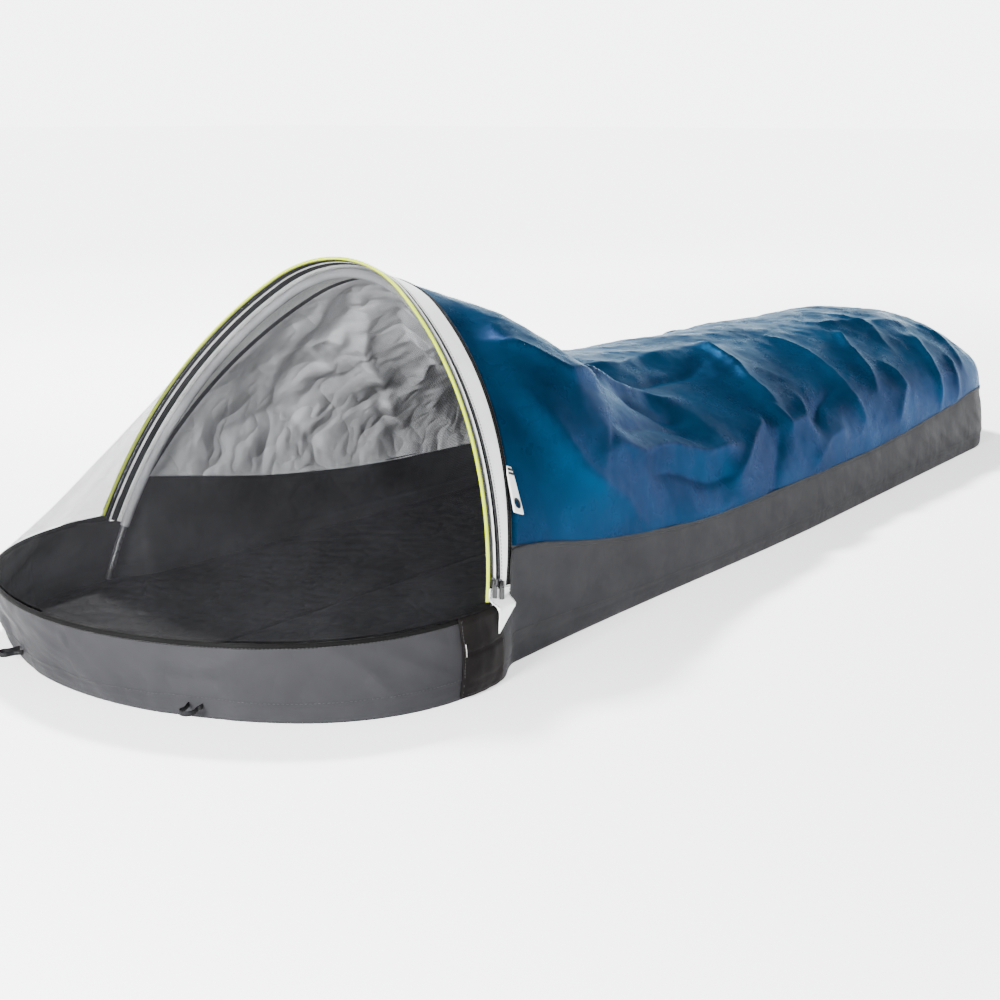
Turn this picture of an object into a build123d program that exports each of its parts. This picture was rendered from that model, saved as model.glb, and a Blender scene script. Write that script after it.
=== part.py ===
"""Single-hoop bivy sack: bathtub floor, laminate top, netting door, zippers, hoop pole and trims.

Frame: millimetres, +Z up, head end towards -Y, foot end towards +Y, origin on the
ground under the middle of the sack.
"""

from build123d import *
from math import asin, cos, degrees, radians, sin, sqrt, tan
import os

os.makedirs("parts", exist_ok=True)

# Driving dimensions of the plan: everything along Y is measured from the hoop's feet.
hoop_half_width = 340
foot_half_width = 265
foot_start = 1640
body_length = 1855
rim_reach = 288
floor_reach = 262
rim_height = 92
hoop_y = (rim_reach - body_length) / 2

# The hood's arch is three tangent arcs in a plane that leans back towards the foot.
arch_rise = 480
arch_lean = 19.6
leg_sweep = 55
rim_angle = 10.9
cover_lean = 26.6
cover_start = 32.1
cover_drop = 7.3

# Body of the sack: distance from the hoop's feet, seam inset, seam height, ridge height.
body_stations = [
    (330, 16, 104, 393),
    (420, 14, 94, 343),
    (510, 12, 86, 302),
    (620, 10, 81, 270),
    (1070, 8, 78, 262),
    (1520, 8, 99, 260),
    (foot_start, 8, 110, 250),
]
front_seam_height = 142
front_seam_y = 110
front_seam_inset = 17
wall_start = 0.5
wall_start_drop = 2
front_wall_y = 80
front_wall_inset = 2
front_wall_drop = 8
foot_shares = (0.4, 0.7, 0.9, 0.975)
foot_end_share = 0.995
inner_skirt = 4

# Cloth, clearances and zipper layout. Widths run backwards from the arch's front plane.
cloth = 1.5
floor_thickness = 2
seam_gap = 0.6
seam_lift = 1.1
seam_width = 6
rim_binding_height = 3
rim_binding_width = 3
tape_thickness = 1.2
piping_radius = 1.5
piping_back = 1.9
white_piping_radius = 1.3
white_piping_back = 14.5
door_tape_back = (3.8, 7.2)
hood_tape_back = (7.8, 12.6)
storm_tape_back = (16.4, 27.0)
door_coil_back = (5.4, 7.2)
hood_coil_back = (7.8, 9.6)
storm_coil_back = (20.6, 22.4)
coil_height = (0.1, 1.6)
door_zip_angle = 14.4
band_overlap = 0.4
flap_back = 27.4
flap_limit = 120
binding_width = 6
binding_clearance = 0.5
binding_height = (-1.7, 0.5)

# Hoop pole: a shock-corded tube in three sections, in a sleeve under the storm flap.
pole_back = 34
pole_shift = -10
pole_radius = 4.25
pole_bore = 1.8
shock_cord_radius = 1.2
pole_foot_angle = 3.6
pole_joint_angle = 49
pole_joint_gap = 0.02
cord_inset_angle = 0.3
sleeve_outer = 6.3
sleeve_inner = 5.6
sleeve_foot_angle = 10.2
ferrule_outer = 5.1
ferrule_clearance = 0.05
ferrule_half_angle = 2.6
pole_tip_length = 16
pole_tip_flare = 0.5
pole_tip_round = 3

# Small parts.
slider_length = 11
slider_width = 7.6
slider_plate = (2.6, 4.2)
slider_flange = 1.0
slider_flange_low = 0.6
slider_rest_angle = 13.3
slider_travel_angle = 40
slider_corner = 1.5
bail_length = 6
bail_width = 3.2
bail_height = 4.4
bail_hole = 1.35
bail_hole_height = 6.4
pull_pin = 0.85
pull_gap = 0.45
pull_arm = 1.2
pull_arm_length = 6.5
pull_arm_above = 1
pull_tab_lap = 0.2
pull_tab_length = 13
pull_tab_width = 7
pull_corner = 1.2
pull_thickness = 1.9
pull_travel_angle = 160
pocket_width = 55
pocket_bottom = 3
pocket_top = 92
pocket_thickness = 1.6
pocket_gap = 0.6
loop_outer_radius = 9
loop_thickness = 1.8
loop_leg = 15
loop_width = 5
loop_height = 15
loop_clearance = 3
loop_down_angle = 20
loop_up_angle = 60
head_loop_x = 150
foot_loop_x = 135
tab_angle = 28.5
tab_length = 60
tab_corner = 3
tab_out_angle = 100
tab_width = 20
tab_thickness = 3
tab_lift = 4.6
tab_eye_radius = 5.5
tab_eye_margin = 2
garage_length = 8
garage_angle = 12.1
garage_back = (5, 29)
garage_height = 1.4
garage_lift = 2.1
garage_corner = 2
door_gap = 1
door_inset = 2
door_clearance = 0.1
door_open_angle = 125
door_hinge_ahead = 3


def leaning_plane(y, lean, drop=0.0):
    """Plane across the sack that leans back; its y direction runs up the plane."""
    tilt = radians(lean)
    origin = (0, hoop_y + y - drop * sin(tilt), -drop * cos(tilt))
    return Plane(origin=origin, x_dir=(1, 0, 0), z_dir=(0, -cos(tilt), sin(tilt)))


def upright_plane(y, z=0.0):
    return Plane(origin=(0, hoop_y + y, z), x_dir=(1, 0, 0), z_dir=(0, -1, 0))


def head_plane(z):
    """Level plane whose y direction points to the head end."""
    return Plane(origin=(0, hoop_y, z), x_dir=(1, 0, 0), z_dir=(0, 0, -1))


def foot_plane(z):
    """Level plane whose y direction points to the foot end."""
    return Plane(origin=(0, hoop_y + foot_start, z), x_dir=(1, 0, 0), z_dir=(0, 0, 1))


def arch_radii(half_width, rise):
    """Radii of the leg arcs and of the crown arc that meet at the leg sweep."""
    sweep = radians(leg_sweep)
    bulge = (rise - half_width) / (1 + tan(sweep) - 1 / cos(sweep))
    return half_width + bulge, half_width + bulge - bulge / cos(sweep)


def arch_end(half_width, rise, shift, start, side=1):
    """Lower end of a leg arc, on the right for side 1 and on the left for side -1."""
    leg, _ = arch_radii(half_width, rise)
    reach = half_width - leg + (leg + shift) * cos(radians(start))
    return side * reach, (leg + shift) * sin(radians(start))


def arch_arcs(half_width, rise, shift=0.0, start=0.0):
    """Right leg, crown and left leg, moved outward by shift, drawn in the open line."""
    leg, crown = arch_radii(half_width, rise)
    CenterArc((half_width - leg, 0), leg + shift, start, leg_sweep - start)
    CenterArc((0, rise - crown), crown + shift, leg_sweep, 180 - 2 * leg_sweep)
    CenterArc((leg - half_width, 0), leg + shift, 180 - leg_sweep, leg_sweep - start)


def arch_band(plane, half_width, rise, low, high, start=0.0):
    """Thin arch between two shifts of the same arcs, closed at its feet."""
    with BuildSketch(plane) as band:
        with BuildLine():
            arch_arcs(half_width, rise, low, start)
            arch_arcs(half_width, rise, high, start)
            for side in (1, -1):
                Line(
                    arch_end(half_width, rise, low, start, side),
                    arch_end(half_width, rise, high, start, side),
                )
        make_face()
    return band.sketch


def arch_face(plane, half_width, rise, shift=0.0, start=0.0, skirt=0.0):
    """Full arch, closed by a chord that lies a skirt below the arch's feet."""
    right = arch_end(half_width, rise, shift, start)
    left = (-right[0], right[1])
    with BuildSketch(plane) as face:
        with BuildLine():
            arch_arcs(half_width, rise, shift, start)
            if skirt:
                Line(right, (right[0], right[1] - skirt))
                Line(left, (left[0], left[1] - skirt))
            Line((left[0], left[1] - skirt), (right[0], right[1] - skirt))
        make_face()
    return face.sketch


def arch_ribbon(back, height, start):
    """Ribbon of the hood's arch: back and height are its (from, to) pairs."""
    plane = hood_plane.offset(-back[0])
    band = arch_band(plane, hoop_half_width, arch_rise, height[0], height[1], start)
    with BuildPart() as ribbon:
        extrude(band, amount=back[0] - back[1])
    return ribbon.part


def arch_tube(back, shift, angles, outer, inner=0.0):
    """Round tube along the arch between two angles of one leg, the crown, or all of it."""
    with BuildPart() as tube:
        with BuildLine(hood_plane.offset(-back)) as path:
            if angles[1] > leg_sweep:
                first = leg_sweep - angles[0]
                last = angles[1] - 180 + leg_sweep
                CenterArc((leg_centre, 0), leg_radius + shift, angles[0], first)
                CenterArc((0, crown_centre), crown_radius + shift, leg_sweep, 180 - 2 * leg_sweep)
                CenterArc((-leg_centre, 0), leg_radius + shift, 180 - leg_sweep, last)
            else:
                CenterArc((leg_centre, 0), leg_radius + shift, angles[0], angles[1] - angles[0])
        with BuildSketch(Plane(path.wires()[0] ^ 0)):
            Circle(outer)
            if inner:
                Circle(inner, mode=Mode.SUBTRACT)
        sweep(path=path.wires()[0])
    return tube.part


def arch_frame(back, shift, angle):
    """Plane at a place on the right leg: x backwards, y up the leg, z outward."""
    turn = radians(angle)
    reach = leg_radius + shift
    place = hood_plane.offset(-back).from_local_coords(
        Vector(leg_centre + reach * cos(turn), reach * sin(turn), 0)
    )
    outward = hood_plane.x_dir * cos(turn) + hood_plane.y_dir * sin(turn)
    return Plane(origin=place, x_dir=-hood_plane.z_dir, z_dir=outward)


def shell_between(outer, inner):
    """Loft through the outer sections less the loft through the inner ones."""
    with BuildPart() as shell:
        loft(outer, ruled=True)
        loft(inner, ruled=True, mode=Mode.SUBTRACT)
    return shell.part


def mirrored(part):
    with BuildPart() as twin:
        mirror(part, about=Plane.YZ)
    return twin.part


def finish(part, name):
    part.label = name
    export_step(part, f"parts/{name}.step")


def finish_pair(part, name):
    finish(mirrored(part), f"{name}_left")
    finish(part, f"{name}_right")


hood_plane = leaning_plane(0, arch_lean)
cover_plane = leaning_plane(cover_start, cover_lean, cover_drop)
leg_radius, crown_radius = arch_radii(hoop_half_width, arch_rise)
leg_centre = hoop_half_width - leg_radius
crown_centre = arch_rise - crown_radius


def ground_half_width(y):
    return hoop_half_width + (foot_half_width - hoop_half_width) * y / foot_start


# ---- Bathtub floor -------------------------------------------------------------------------

with BuildPart() as floor_panel:
    extrude(arch_face(head_plane(0), hoop_half_width, floor_reach), amount=-floor_thickness)
    extrude(
        arch_face(foot_plane(0), foot_half_width, body_length - foot_start),
        amount=floor_thickness,
    )
    with BuildSketch():
        with BuildLine():
            Polyline(
                (hoop_half_width, hoop_y),
                (foot_half_width, hoop_y + foot_start),
                (-foot_half_width, hoop_y + foot_start),
                (-hoop_half_width, hoop_y),
                close=True,
            )
        make_face()
    extrude(amount=floor_thickness)
finish(floor_panel.part, "floor_panel")

head_wall = shell_between(
    [
        arch_face(head_plane(floor_thickness), hoop_half_width, floor_reach),
        arch_face(head_plane(rim_height), hoop_half_width, rim_reach),
    ],
    [
        arch_face(head_plane(floor_thickness), hoop_half_width, floor_reach, -cloth),
        arch_face(head_plane(rim_height), hoop_half_width, rim_reach, -cloth),
    ],
)
finish(head_wall, "head_wall")

foot_seam_inset, foot_seam_height = body_stations[-1][1:3]
foot_seam_half_width = foot_half_width - foot_seam_inset
foot_seam_reach = body_length - foot_start - foot_seam_inset
foot_wall = shell_between(
    [
        arch_face(foot_plane(floor_thickness), foot_half_width, body_length - foot_start),
        arch_face(foot_plane(foot_seam_height), foot_seam_half_width, foot_seam_reach),
    ],
    [
        arch_face(foot_plane(floor_thickness), foot_half_width, body_length - foot_start, -cloth),
        arch_face(foot_plane(foot_seam_height), foot_seam_half_width, foot_seam_reach, -cloth),
    ],
)
finish(foot_wall, "foot_wall")

wall_stations = [
    (wall_start, 0, rim_height - wall_start_drop),
    (front_wall_y, front_wall_inset, rim_height - front_wall_drop),
    (front_seam_y, front_seam_inset, front_seam_height),
] + [(y, inset, height) for y, inset, height, _ in body_stations]


def wall_section(y, inset, height):
    ground = ground_half_width(y)
    with BuildSketch(upright_plane(y)) as section:
        with BuildLine():
            Polyline(
                (ground, floor_thickness),
                (ground - inset, height),
                (ground - inset - cloth, height),
                (ground - cloth, floor_thickness),
                close=True,
            )
        make_face()
    return section.sketch


with BuildPart() as side_wall:
    loft([wall_section(*station) for station in wall_stations], ruled=True)
finish_pair(side_wall.part, "side_wall")


def seam_section(y, inset, height):
    """Felled seam, outside the joint of the side wall and the top."""
    edge = ground_half_width(y) - inset + seam_lift
    with BuildSketch(upright_plane(y)) as section:
        with Locations((edge + cloth / 2, height)):
            Rectangle(cloth, seam_width)
    return section.sketch


with BuildPart() as side_seam:
    loft([seam_section(*station) for station in wall_stations[2:]], ruled=True)
finish_pair(side_seam.part, "side_seam")

with BuildPart() as foot_seam:
    extrude(
        arch_band(
            foot_plane(foot_seam_height - seam_width / 2), foot_seam_half_width,
            foot_seam_reach, seam_lift, seam_lift + cloth,
        ),
        amount=seam_width,
    )
finish(foot_seam.part, "foot_seam")

with BuildPart() as rim_binding:
    extrude(
        arch_band(head_plane(rim_height), hoop_half_width, rim_reach, -rim_binding_width, 0),
        amount=-rim_binding_height,
    )
finish(rim_binding.part, "rim_binding")

# ---- Laminate top, from the hood's arch to the foot ----------------------------------------

cover_reach = (front_seam_height / cos(radians(cover_lean)) + cover_drop) / leg_radius
cover_angle = degrees(asin(cover_reach))


def top_sections(shift, skirt, shares):
    """Sections of the top from the hood's cover line to the rounded foot."""
    sections = [
        arch_face(cover_plane, hoop_half_width, arch_rise, shift, cover_angle, skirt)
    ]
    for y, inset, height, ridge in body_stations:
        half_width = ground_half_width(y) - inset
        plane = upright_plane(y, height + seam_gap)
        sections.append(arch_face(plane, half_width, ridge - height, shift, 0, skirt))
    foot_rise = body_stations[-1][3] - foot_seam_height
    for share in shares:
        scale = sqrt(1 - share**2)
        plane = upright_plane(foot_start + share * foot_seam_reach, foot_seam_height + seam_gap)
        sections.append(
            arch_face(plane, foot_seam_half_width * scale, foot_rise * scale, shift, 0, skirt)
        )
    return sections


top_shell = shell_between(
    top_sections(0, 0, foot_shares + (foot_end_share,)),
    top_sections(-cloth, inner_skirt, foot_shares),
)
finish(top_shell, "top_shell")

# ---- Hood trims: storm flap, binding, pipings and zipper tapes ------------------------------

band_start = rim_angle - band_overlap
flap_end = cover_start - binding_width - 2 * binding_clearance

with BuildPart() as storm_flap:
    add(arch_ribbon((flap_back, flap_limit), (-tape_thickness, 0), band_start))
    split(bisect_by=leaning_plane(flap_end, cover_lean), keep=Keep.TOP)
finish(storm_flap.part, "storm_flap")

with BuildPart() as rear_binding:
    add(arch_ribbon((flap_back, flap_limit), binding_height, band_start))
    split(bisect_by=leaning_plane(cover_start - seam_gap, cover_lean), keep=Keep.TOP)
    split(bisect_by=leaning_plane(flap_end + binding_clearance, cover_lean), keep=Keep.BOTTOM)
finish(rear_binding.part, "rear_binding")

whole_arch = (band_start, 180 - band_start)
door_arch = (rim_angle, 180 - rim_angle)
finish(arch_tube(piping_back, 0, door_arch, piping_radius), "door_piping")
finish(arch_tube(white_piping_back, 0, whole_arch, white_piping_radius), "hood_piping")
skin_height = (-tape_thickness, 0)
finish(arch_ribbon(door_tape_back, skin_height, door_zip_angle), "door_zip_tape")
finish(arch_ribbon(hood_tape_back, skin_height, band_start), "hood_zip_tape")
finish(arch_ribbon(storm_tape_back, skin_height, band_start), "storm_zip_tape")
finish(arch_ribbon(door_coil_back, coil_height, door_zip_angle), "door_zip_coil")
finish(arch_ribbon(hood_coil_back, coil_height, band_start), "hood_zip_coil")
finish(arch_ribbon(storm_coil_back, coil_height, band_start), "storm_zip_coil")

with BuildPart() as zip_garage:
    with BuildSketch(arch_frame(sum(garage_back) / 2, garage_lift, garage_angle)):
        with Locations((0, -garage_length / 2)):
            RectangleRounded(garage_back[1] - garage_back[0], garage_length, garage_corner)
    extrude(amount=garage_height)
finish_pair(zip_garage.part, "zip_garage")

# ---- Netting door, hinged on the head rim ---------------------------------------------------

door_base = rim_height + rim_binding_height + door_gap
with BuildPart() as mesh_door:
    loft(
        [
            arch_band(
                head_plane(door_base), hoop_half_width - door_inset, rim_reach - door_inset,
                -cloth, 0,
            ),
            arch_band(
                hood_plane.offset(-door_clearance), hoop_half_width, arch_rise,
                -cloth, 0, rim_angle,
            ),
        ],
        ruled=True,
    )
finish(mesh_door.part, "mesh_door")

# ---- Hoop pole ------------------------------------------------------------------------------

pole_leg = arch_tube(
    pole_back, pole_shift, (pole_foot_angle, pole_joint_angle), pole_radius, pole_bore
)
finish_pair(pole_leg, "pole_leg")
crown_start = pole_joint_angle + pole_joint_gap
crown_angles = (crown_start, 180 - crown_start)
finish(arch_tube(pole_back, pole_shift, crown_angles, pole_radius, pole_bore), "pole_crown")
ferrule_angles = (
    pole_joint_angle - ferrule_half_angle,
    pole_joint_angle + ferrule_half_angle,
)
ferrule = arch_tube(
    pole_back, pole_shift, ferrule_angles, ferrule_outer, pole_radius + ferrule_clearance
)
finish_pair(ferrule, "pole_ferrule")
cord_start = pole_foot_angle + cord_inset_angle
cord_angles = (cord_start, 180 - cord_start)
finish(arch_tube(pole_back, pole_shift, cord_angles, shock_cord_radius), "pole_shock_cord")
sleeve_angles = (sleeve_foot_angle, 180 - sleeve_foot_angle)
finish(
    arch_tube(pole_back, pole_shift, sleeve_angles, sleeve_outer, sleeve_inner), "pole_sleeve"
)

foot_frame = arch_frame(pole_back, pole_shift, pole_foot_angle)
tip_plane = Plane(origin=foot_frame.origin, x_dir=foot_frame.x_dir, z_dir=-foot_frame.y_dir)
with BuildPart() as pole_tip:
    with BuildSketch(tip_plane):
        Circle(pole_radius + pole_tip_flare)
    extrude(amount=pole_tip_length)
    fillet(pole_tip.faces().sort_by(Axis.Z)[0].edges(), radius=pole_tip_round)
finish_pair(pole_tip.part, "pole_tip")

# ---- Pole pockets, guy tabs and stake loops -------------------------------------------------

pocket_x = hoop_half_width + pocket_gap + pocket_thickness / 2
with BuildPart() as pole_pocket:
    with BuildSketch(Plane.XY.offset(pocket_bottom)):
        with Locations((pocket_x, hoop_y + pocket_width / 2)):
            Rectangle(pocket_thickness, pocket_width)
    extrude(amount=pocket_top - pocket_bottom)
finish_pair(pole_pocket.part, "pole_pocket")


def cover_back(angle):
    """How far the cover line lies behind the arch's front plane at a leg angle."""
    height = leg_radius * sin(radians(angle))
    tilt, slope = radians(arch_lean), tan(radians(cover_lean))
    run = cover_start + height * (slope * cos(tilt) - sin(tilt))
    return run / (cos(tilt) + slope * sin(tilt))


tab_frame = arch_frame(cover_back(tab_angle), tab_lift, tab_angle)
tab_eye_y = 2 * tab_eye_radius + tab_eye_margin - tab_length
with BuildPart() as guy_tab:
    with BuildSketch(tab_frame):
        with Locations((0, -tab_length / 2)):
            RectangleRounded(tab_width, tab_length, tab_corner)
        with Locations((0, tab_eye_y)):
            Circle(tab_eye_radius, mode=Mode.SUBTRACT)
    extrude(amount=tab_thickness / 2, both=True)
finish_pair(guy_tab.part, "guy_tab")


def loop_frame(plane, half_width, rise, x):
    """Plane where a stake loop meets the wall: x along the wall, y outward, z up."""
    _, crown = arch_radii(half_width, rise)
    turn = asin(x / crown)
    reach = crown + loop_clearance
    place = plane.from_local_coords(Vector(reach * sin(turn), rise - crown + reach * cos(turn), 0))
    outward = plane.x_dir * sin(turn) + plane.y_dir * cos(turn)
    along = outward.cross(Vector(0, 0, 1))
    return Plane(origin=place, x_dir=along, z_dir=(0, 0, 1))


def stake_loop(frame):
    """Webbing loop whose two legs are sewn side by side into the wall."""
    inner_radius = loop_outer_radius - loop_thickness
    with BuildPart() as loop:
        with BuildSketch(frame):
            with Locations((0, loop_leg / 2)):
                Rectangle(2 * loop_outer_radius, loop_leg)
                Rectangle(2 * inner_radius, loop_leg, mode=Mode.SUBTRACT)
            with BuildLine():
                CenterArc((0, loop_leg), loop_outer_radius, 0, 180)
                CenterArc((0, loop_leg), inner_radius, 0, 180)
                Line((inner_radius, loop_leg), (loop_outer_radius, loop_leg))
                Line((-inner_radius, loop_leg), (-loop_outer_radius, loop_leg))
            make_face()
        extrude(amount=loop_width / 2, both=True)
    return loop.part


wall_share = (loop_height - floor_thickness) / (rim_height - floor_thickness)
loop_reach = floor_reach + (rim_reach - floor_reach) * wall_share
head_loop_frame = loop_frame(head_plane(loop_height), hoop_half_width, loop_reach, head_loop_x)
foot_loop_frame = loop_frame(
    foot_plane(loop_height), foot_half_width, body_length - foot_start, foot_loop_x
)
finish_pair(stake_loop(head_loop_frame), "stake_loop_head")
finish_pair(stake_loop(foot_loop_frame), "stake_loop_foot")

# ---- Zipper sliders and pulls ---------------------------------------------------------------


def zip_slider(frame):
    """Saddle over the coil with a bail; the frame lies on the tape's outer face."""
    with BuildPart() as slider:
        with BuildSketch(frame.offset(slider_plate[0])):
            RectangleRounded(slider_width, slider_length, slider_corner)
        extrude(amount=slider_plate[1] - slider_plate[0])
        with BuildSketch(frame.offset(slider_flange_low)):
            for side in (1, -1):
                with Locations((side * (slider_width - slider_flange) / 2, 0)):
                    Rectangle(slider_flange, slider_length - 2 * slider_corner)
        extrude(amount=slider_plate[0] - slider_flange_low)
        with BuildSketch(frame.offset(slider_plate[1])):
            Rectangle(bail_width, bail_length)
        extrude(amount=bail_height)
        with BuildSketch(pin_plane(frame)):
            Circle(bail_hole)
        extrude(amount=bail_width, both=True, mode=Mode.SUBTRACT)
    return slider.part


def pin_plane(frame):
    """Plane through the middle of the bail's hole, across the pull's pin."""
    centre = frame.from_local_coords(Vector(0, 0, bail_hole_height))
    return Plane(origin=centre, x_dir=frame.y_dir, z_dir=frame.x_dir)


def zip_pull(frame):
    """Pin through the bail, two arms beside it and a moulded tab that hangs down."""
    arm_x = bail_width / 2 + pull_gap + pull_arm / 2
    tab_top = pull_arm_above + pull_tab_lap - pull_arm_length
    with BuildPart() as pull:
        with BuildSketch(pin_plane(frame)):
            Circle(pull_pin)
        extrude(amount=arm_x + pull_arm / 2, both=True)
        with BuildSketch(frame.offset(bail_hole_height)):
            for side in (1, -1):
                with Locations((side * arm_x, pull_arm_above - pull_arm_length / 2)):
                    Rectangle(pull_arm, pull_arm_length)
            with Locations((0, tab_top - pull_tab_length / 2)):
                RectangleRounded(pull_tab_width, pull_tab_length, pull_corner)
        extrude(amount=pull_thickness / 2, both=True)
    return pull.part


mesh_zip_centre = (door_coil_back[0] + hood_coil_back[1]) / 2
storm_zip_centre = (storm_coil_back[0] + storm_coil_back[1]) / 2
for name, back in (("mesh", mesh_zip_centre), ("storm", storm_zip_centre)):
    frame = arch_frame(back, 0, slider_rest_angle)
    finish_pair(zip_slider(frame), f"{name}_slider")
    finish_pair(zip_pull(frame), f"{name}_pull")

# ---- Joint axes, for the right side: a point on each axis and its direction ------------------

door_hinge_y = hoop_y - rim_reach - door_hinge_ahead
slider_centre = hood_plane.from_local_coords(Vector(leg_centre, 0, 0))
joint_axes = {
    "door_open": (
        Vector(0, door_hinge_y, door_base + door_gap), Vector(1, 0, 0), 0, door_open_angle
    ),
    "guy_tab_swing": (tab_frame.origin, -tab_frame.x_dir, 0, tab_out_angle),
}
for end, frame in (("head", head_loop_frame), ("foot", foot_loop_frame)):
    joint_axes[f"stake_loop_{end}_flap"] = (
        frame.origin, frame.x_dir, -loop_down_angle, loop_up_angle
    )
for name, back in (("mesh", mesh_zip_centre), ("storm", storm_zip_centre)):
    frame = arch_frame(back, 0, slider_rest_angle)
    pin = pin_plane(frame).origin
    joint_axes[f"{name}_slider_travel"] = (slider_centre, hood_plane.z_dir, 0, slider_travel_angle)
    joint_axes[f"{name}_pull_swing"] = (pin, -frame.x_dir, 0, pull_travel_angle)
for name, (place, axis, low, high) in joint_axes.items():
    print(name, tuple(place), tuple(axis), low, high)
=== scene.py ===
import bpy
import numpy as np
from math import asin, cos, pi, radians, sin, tan
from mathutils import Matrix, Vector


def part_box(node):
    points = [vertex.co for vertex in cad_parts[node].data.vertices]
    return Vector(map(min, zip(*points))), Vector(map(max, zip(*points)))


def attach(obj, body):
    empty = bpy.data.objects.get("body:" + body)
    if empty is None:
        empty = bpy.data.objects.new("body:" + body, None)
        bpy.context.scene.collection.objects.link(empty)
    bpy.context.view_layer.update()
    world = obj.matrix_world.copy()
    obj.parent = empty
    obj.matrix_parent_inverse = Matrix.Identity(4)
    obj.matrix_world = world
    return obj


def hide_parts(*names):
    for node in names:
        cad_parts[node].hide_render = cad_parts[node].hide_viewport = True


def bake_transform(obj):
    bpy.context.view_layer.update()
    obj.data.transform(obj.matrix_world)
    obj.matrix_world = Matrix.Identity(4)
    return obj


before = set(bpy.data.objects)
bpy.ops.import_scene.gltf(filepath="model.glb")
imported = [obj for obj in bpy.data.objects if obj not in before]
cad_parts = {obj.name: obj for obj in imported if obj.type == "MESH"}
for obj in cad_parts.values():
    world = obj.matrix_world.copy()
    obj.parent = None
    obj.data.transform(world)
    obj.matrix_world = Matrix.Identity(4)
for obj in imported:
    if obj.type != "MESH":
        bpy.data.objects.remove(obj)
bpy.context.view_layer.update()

# ---- Sizes in metres. The plan comes from the frame's boxes, and the arch is the frame's arch.

floor_low, floor_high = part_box("floor_panel")
rim_low, rim_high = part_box("head_wall")
HALF = floor_high.x
HOOP_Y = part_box("pole_pocket_right")[0].y
FLOOR_REACH = HOOP_Y - floor_low.y
RIM_REACH = HOOP_Y - rim_low.y
RIM_Z = rim_high.z
BODY = floor_high.y - HOOP_Y
FLOOR_Z = floor_high.z
FOOT_HALF = 0.265
FOOT_START = 1.640
# The hoop leans back by LEAN, and its leg arcs end at SWEEP. The band's rear edge leans by
# COVER_LEAN from COVER_START behind the hoop's feet.
ARCH_RISE = 0.480
LEAN = radians(19.6)
SWEEP = radians(55)
COVER_LEAN = radians(26.6)
COVER_START = 0.0321
BAND_START = radians(10.5)
DOOR_START = radians(10.9)
CLOTH = 0.0012
NET_THICKNESS = 0.0004

# The top's sections: distance from the hoop's feet, seam inset, seam height, ridge height.
BODY_STATIONS = [
    (0.330, 0.016, 0.104, 0.393),
    (0.420, 0.014, 0.094, 0.343),
    (0.510, 0.012, 0.086, 0.302),
    (0.620, 0.010, 0.081, 0.270),
    (1.070, 0.008, 0.078, 0.262),
    (1.520, 0.008, 0.099, 0.260),
    (1.640, 0.008, 0.110, 0.250),
]
FRONT_SEAM = (0.110, 0.017, 0.142)
SEAM_LINE = np.array([FRONT_SEAM] + [station[:3] for station in BODY_STATIONS])
FOOT_INSET, FOOT_SEAM_Z, FOOT_RIDGE = BODY_STATIONS[-1][1:]
FOOT_REACH = BODY - FOOT_START


# ---- Curves and surfaces


def smooth(low, high, value):
    """0 below low, 1 above high, and an even S between them."""
    share = np.clip((value - low) / (high - low), 0, 1)
    return share * share * (3 - 2 * share)


def shares(count):
    return np.linspace(0, 1, count)


def full_turn(count):
    return np.linspace(0, 2 * pi, count, endpoint=False)


def join(*parts):
    """Points, or pairs, from their coordinates."""
    return np.stack(np.broadcast_arrays(*parts), -1)


def unit(vectors):
    return vectors / np.maximum(np.linalg.norm(vectors, axis=-1, keepdims=True), 1e-12)


def arch_radii(half, rise):
    """Radii of the legs and of the crown of a three-arc arch."""
    bulge = (rise - half) / (1 + tan(SWEEP) - 1 / cos(SWEEP))
    return half + bulge, half + bulge - bulge / cos(SWEEP)


def arch(half, rise, share, start=0.0):
    """Three-arc arch at shares of its length from the right foot: x, height, outward angle."""
    leg, crown = arch_radii(half, rise)
    leg_run, crown_run = leg * (SWEEP - start), crown * (pi - 2 * SWEEP)
    run = np.asarray(share) * (2 * leg_run + crown_run)
    right, left = run < leg_run, run > leg_run + crown_run
    turn_right = start + run / leg
    turn_left = pi - SWEEP + (run - leg_run - crown_run) / leg
    turn_crown = SWEEP + (run - leg_run) / crown
    angle = np.where(right, turn_right, np.where(left, turn_left, turn_crown))
    radius = np.where(right | left, leg, crown)
    x = np.where(right, half - leg, np.where(left, leg - half, 0)) + radius * np.cos(angle)
    return x, np.where(right | left, 0, rise - crown) + radius * np.sin(angle), angle


def arch_half(half, rise, height):
    """Half width of a three-arc arch at a height."""
    leg, crown = arch_radii(half, rise)
    on_leg = half - leg + np.sqrt(np.maximum(leg**2 - height**2, 0))
    on_crown = np.sqrt(np.maximum(crown**2 - (height - rise + crown) ** 2, 0))
    return np.where(height < leg * sin(SWEEP), on_leg, on_crown)


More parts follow.
